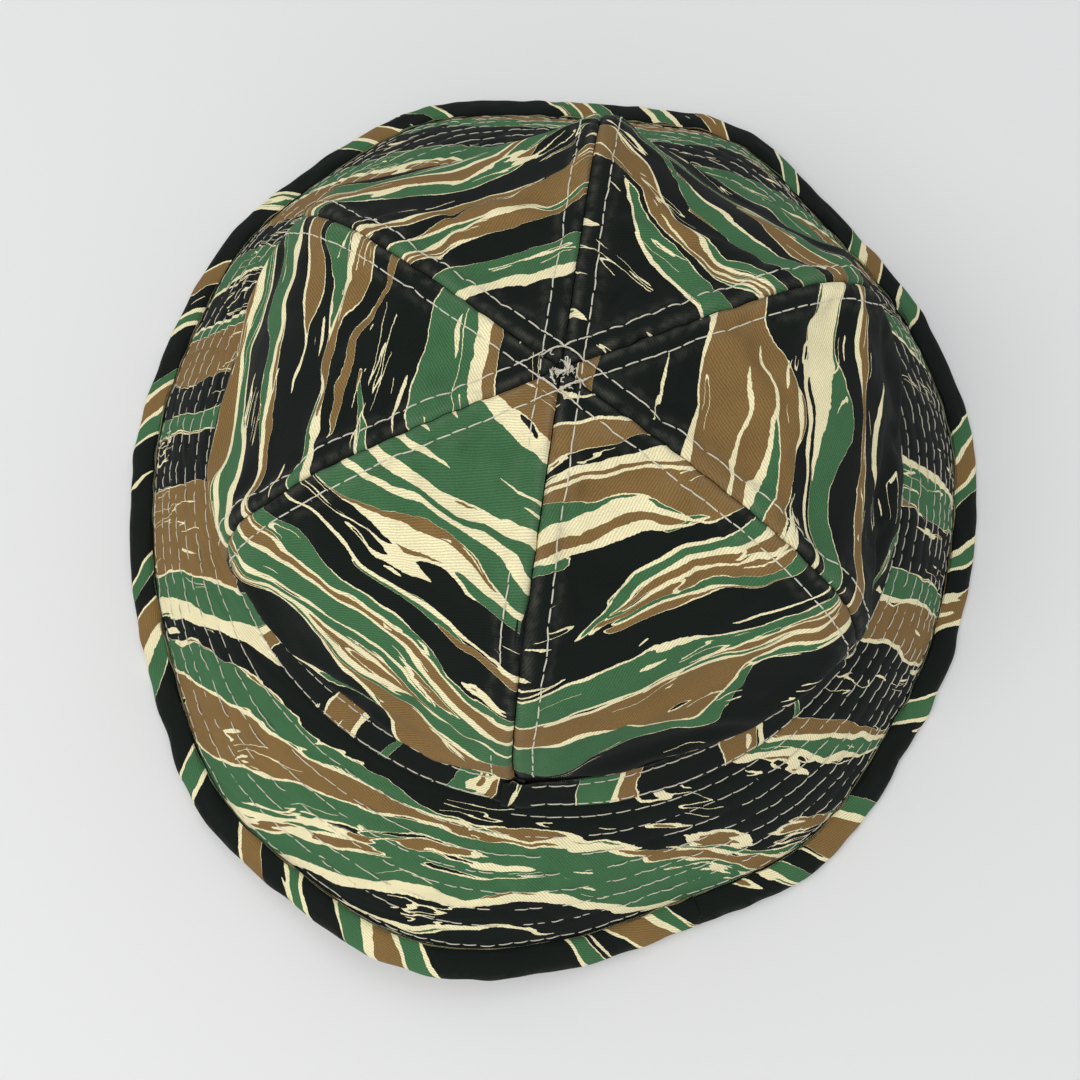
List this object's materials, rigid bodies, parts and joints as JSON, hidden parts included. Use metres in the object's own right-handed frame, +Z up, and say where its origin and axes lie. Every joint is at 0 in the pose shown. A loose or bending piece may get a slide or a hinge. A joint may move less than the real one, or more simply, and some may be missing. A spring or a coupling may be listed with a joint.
{
  "type": "bucket hat",
  "caption": "Soft cotton bucket hat with a gored crown, lapped hat band, quilted sloping brim and bound edge, lying on its rim.",
  "frame": {"origin": "middle of the rim's outline, on the plane that the rim rests on", "axes": "+Z up through the crown, +Y towards the front of the hat, -Y towards the centre back where the hat band laps"},
  "size_m": [0.2688, 0.2898, 0.1156],
  "materials": {
    "camo_twill_crown": "matte cotton twill printed with tiger-stripe camouflage in black, green, brown and cream, stripes across each gore",
    "camo_twill_brim": "the same matte printed cotton twill, print running one way across the quilted brim",
    "camo_twill_trim": "the same matte printed cotton twill cut as narrow strips for the hat band and the edge binding",
    "seam_tape": "matte black woven seam tape",
    "sweatband_twill": "matte black cotton twill, folded",
    "interlining": "unbleached non-woven stiffener, hidden between the brim's two cloths",
    "sewing_thread": "off-white spun polyester thread"
  },
  "bodies": {
    "root": {"band_thread_lower": "sewing_thread", "band_thread_upper": "sewing_thread", "brim_edge_thread": "sewing_thread", "brim_interlining": "interlining", "brim_quilting_thread": "sewing_thread", "brim_top": "camo_twill_brim", "brim_under": "camo_twill_brim", "crown_gore_back_left": "camo_twill_crown", "crown_gore_back_right": "camo_twill_crown", "crown_gore_front_left": "camo_twill_crown", "crown_gore_front_right": "camo_twill_crown", "crown_gore_left": "camo_twill_crown", "crown_gore_right": "camo_twill_crown", "edge_binding": "camo_twill_trim", "hat_band": "camo_twill_trim", "seam_tape_back_left": "seam_tape", "seam_tape_back_right": "seam_tape", "seam_tape_centre": "seam_tape", "seam_tape_front_left": "seam_tape", "seam_tape_front_right": "seam_tape", "seam_thread_back_left_a": "sewing_thread", "seam_thread_back_left_b": "sewing_thread", "seam_thread_back_right_a": "sewing_thread", "seam_thread_back_right_b": "sewing_thread", "seam_thread_centre_left": "sewing_thread", "seam_thread_centre_right": "sewing_thread", "seam_thread_front_left_a": "sewing_thread", "seam_thread_front_left_b": "sewing_thread", "seam_thread_front_right_a": "sewing_thread", "seam_thread_front_right_b": "sewing_thread", "sweatband": "sweatband_twill"}
  },
  "joints": []
}
